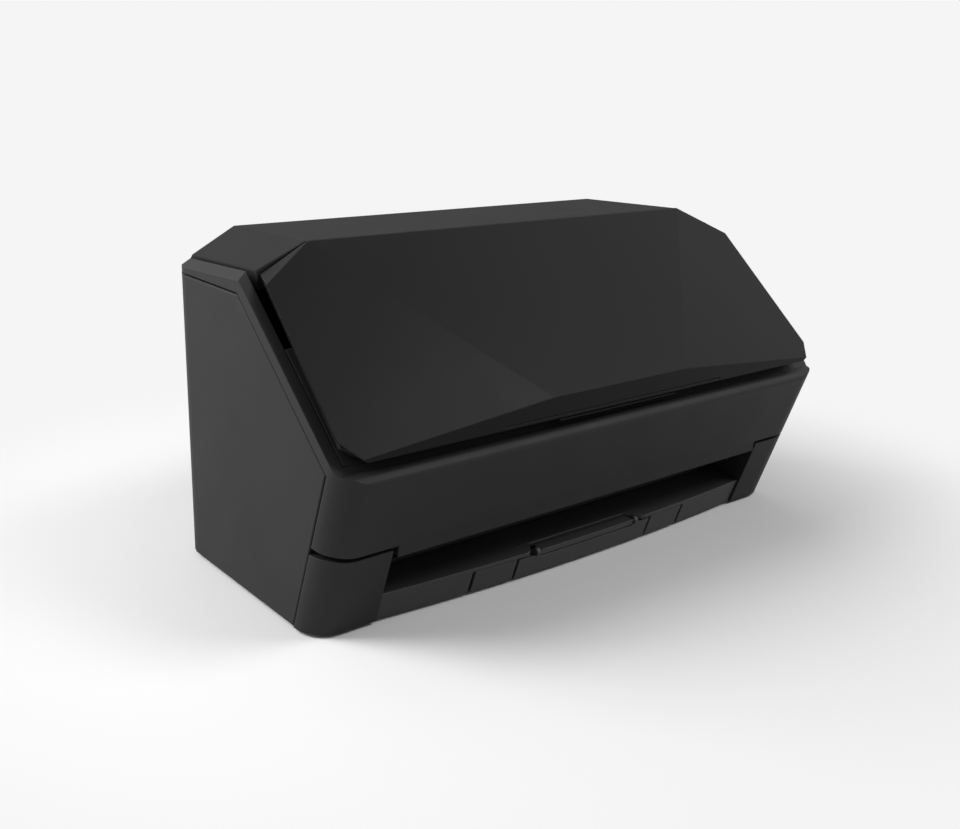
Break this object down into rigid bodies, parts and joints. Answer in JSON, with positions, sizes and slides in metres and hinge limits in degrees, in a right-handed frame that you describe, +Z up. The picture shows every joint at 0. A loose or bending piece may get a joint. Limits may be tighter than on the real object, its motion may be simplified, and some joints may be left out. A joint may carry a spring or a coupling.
{
  "type": "document scanner",
  "caption": "Compact desktop sheet-fed document scanner, closed: faceted lid that opens into a paper chute, swing-open front, paper outlet slot and pull-out stacker.",
  "frame": {"origin": "on the desk, under the middle of the closed body's bounding box", "axes": "-Y towards the front where sheets come out, +Z up, +X to the right of someone facing the rear, so to the user's right hand"},
  "size_m": [0.292, 0.1605, 0.1531],
  "materials": {
    "body_black": "fine moulded texture, satin",
    "lid_black": "fine moulded texture, satin",
    "tray_black": "fine moulded texture",
    "inner_black": "smooth",
    "gear_white": "acetal",
    "glass": "clear",
    "panel_screen": "glossy",
    "board": "solder mask",
    "steel": "zinc plated",
    "roller_rubber": "ground rubber",
    "foot_rubber": "matte",
    "motor_steel": "plated",
    "jack_black": "smooth",
    "port_steel": "nickel plated"
  },
  "bodies": {
    "base": {"bottom_cover": "body_black", "rubber_feet": "foot_rubber", "bottom_screws": "steel", "right_side_panel": "body_black", "left_side_panel": "body_black", "rear_cover": "body_black", "rear_screws": "steel", "hood": "body_black", "paper_guide": "inner_black", "lower_glass": "glass", "lower_sensor": "inner_black", "right_frame_plate": "steel", "left_frame_plate": "steel", "frame_tie_bars": "steel", "shaft_bushes": "gear_white", "drive_motor": "motor_steel", "drive_belt": "foot_rubber", "bay_cover": "inner_black", "main_board": "board", "dc_jack": "jack_black", "usb_socket": "port_steel"},
    "top_section": {"front_cover": "body_black", "cover_pivot_pins": "steel", "deck": "inner_black", "panel_bezel": "inner_black", "panel_glass": "panel_screen", "panel_board": "board", "upper_guide": "inner_black", "upper_glass": "glass", "upper_sensor": "inner_black"},
    "lid": {"lid_shell": "lid_black", "lid_inner_plate": "inner_black", "lid_hinge_pins": "steel"},
    "guide_left": {"side_guide_left": "inner_black"},
    "guide_right": {"side_guide_right": "inner_black"},
    "pinion": {"guide_pinion": "gear_white"},
    "extension": {"chute_extension": "tray_black"},
    "pick_roller": {"pick_shaft": "steel", "pick_tyres": "roller_rubber"},
    "feed_roller": {"feed_shaft": "steel", "feed_tyres": "roller_rubber"},
    "exit_roller": {"exit_shaft": "steel", "exit_tyres": "roller_rubber"},
    "motor_rotor": {"motor_pulley": "gear_white"},
    "brake": {"brake_roller": "gear_white"},
    "feed_idler": {"feed_idlers": "steel"},
    "exit_idler": {"exit_idlers": "steel"},
    "stage_1": {"stacker_stage_1": "tray_black"},
    "stage_2": {"stacker_stage_2": "tray_black"},
    "stage_3": {"stacker_stage_3": "tray_black"},
    "stop": {"paper_stop": "tray_black"}
  },
  "joints": [
    {"name": "top_hinge", "type": "hinge", "parent": "base", "child": "top_section", "pos_m": [0, -0.06378, 0.042], "axis": [1, 0, 0], "range_deg": [0, 20]},
    {"name": "lid_hinge", "type": "hinge", "parent": "top_section", "child": "lid", "pos_m": [0, -0.0175, 0.13203], "axis": [-1, 0, 0], "range_deg": [0, 153]},
    {"name": "extension_slide", "type": "slide", "parent": "lid", "child": "extension", "axis": [0, -0.7546, -0.6562], "range_m": [0, 0.048]},
    {"name": "guide_left_slide", "type": "slide", "parent": "lid", "child": "guide_left", "axis": [1, 0, 0], "range_m": [0, 0.078]},
    {"name": "guide_right_slide", "type": "slide", "parent": "lid", "child": "guide_right", "axis": [-1, 0, 0], "range_m": [0, 0.078]},
    {"name": "pinion_spin", "type": "hinge", "parent": "lid", "child": "pinion", "pos_m": [0, -0.01421, 0.13357], "axis": [0, 0.6562, -0.7546], "range_deg": [0, 1545]},
    {"name": "pick_spin", "type": "hinge", "parent": "base", "child": "pick_roller", "pos_m": [0, -0.02977, 0.08511], "axis": [1, 0, 0], "continuous": true},
    {"name": "feed_spin", "type": "hinge", "parent": "base", "child": "feed_roller", "pos_m": [0, -0.03826, 0.07129], "axis": [1, 0, 0], "continuous": true},
    {"name": "exit_spin", "type": "hinge", "parent": "base", "child": "exit_roller", "pos_m": [0, -0.04875, 0.04532], "axis": [1, 0, 0], "continuous": true},
    {"name": "motor_spin", "type": "hinge", "parent": "base", "child": "motor_rotor", "pos_m": [0, 0.004, 0.046], "axis": [1, 0, 0], "continuous": true},
    {"name": "brake_spin", "type": "hinge", "parent": "top_section", "child": "brake", "pos_m": [0, -0.04358, 0.09069], "axis": [1, 0, 0], "continuous": true},
    {"name": "feed_idler_spin", "type": "hinge", "parent": "top_section", "child": "feed_idler", "pos_m": [0, -0.04883, 0.07555], "axis": [1, 0, 0], "continuous": true},
    {"name": "exit_idler_spin", "type": "hinge", "parent": "top_section", "child": "exit_idler", "pos_m": [0, -0.05932, 0.04959], "axis": [1, 0, 0], "continuous": true},
    {"name": "stage_1_slide", "type": "slide", "parent": "base", "child": "stage_1", "axis": [0, -1, 0], "range_m": [0, 0.07]},
    {"name": "stage_2_slide", "type": "slide", "parent": "stage_1", "child": "stage_2", "axis": [0, -1, 0], "range_m": [0, 0.07]},
    {"name": "stage_3_slide", "type": "slide", "parent": "stage_2", "child": "stage_3", "axis": [0, -1, 0], "range_m": [0, 0.065]},
    {"name": "stop_hinge", "type": "hinge", "parent": "stage_3", "child": "stop", "pos_m": [0, -0.0623, 0.0136], "axis": [1, 0, 0], "range_deg": [0, 90]}
  ],
  "couplings": [
    {"joint": "guide_right_slide", "follows": "guide_left_slide", "ratio": 1},
    {"joint": "pinion_spin", "follows": "guide_left_slide", "rad_per_m": 344.83},
    {"joint": "feed_spin", "follows": "pick_spin", "ratio": 1},
    {"joint": "exit_spin", "follows": "pick_spin", "ratio": 1},
    {"joint": "motor_spin", "follows": "pick_spin", "ratio": 1}
  ]
}
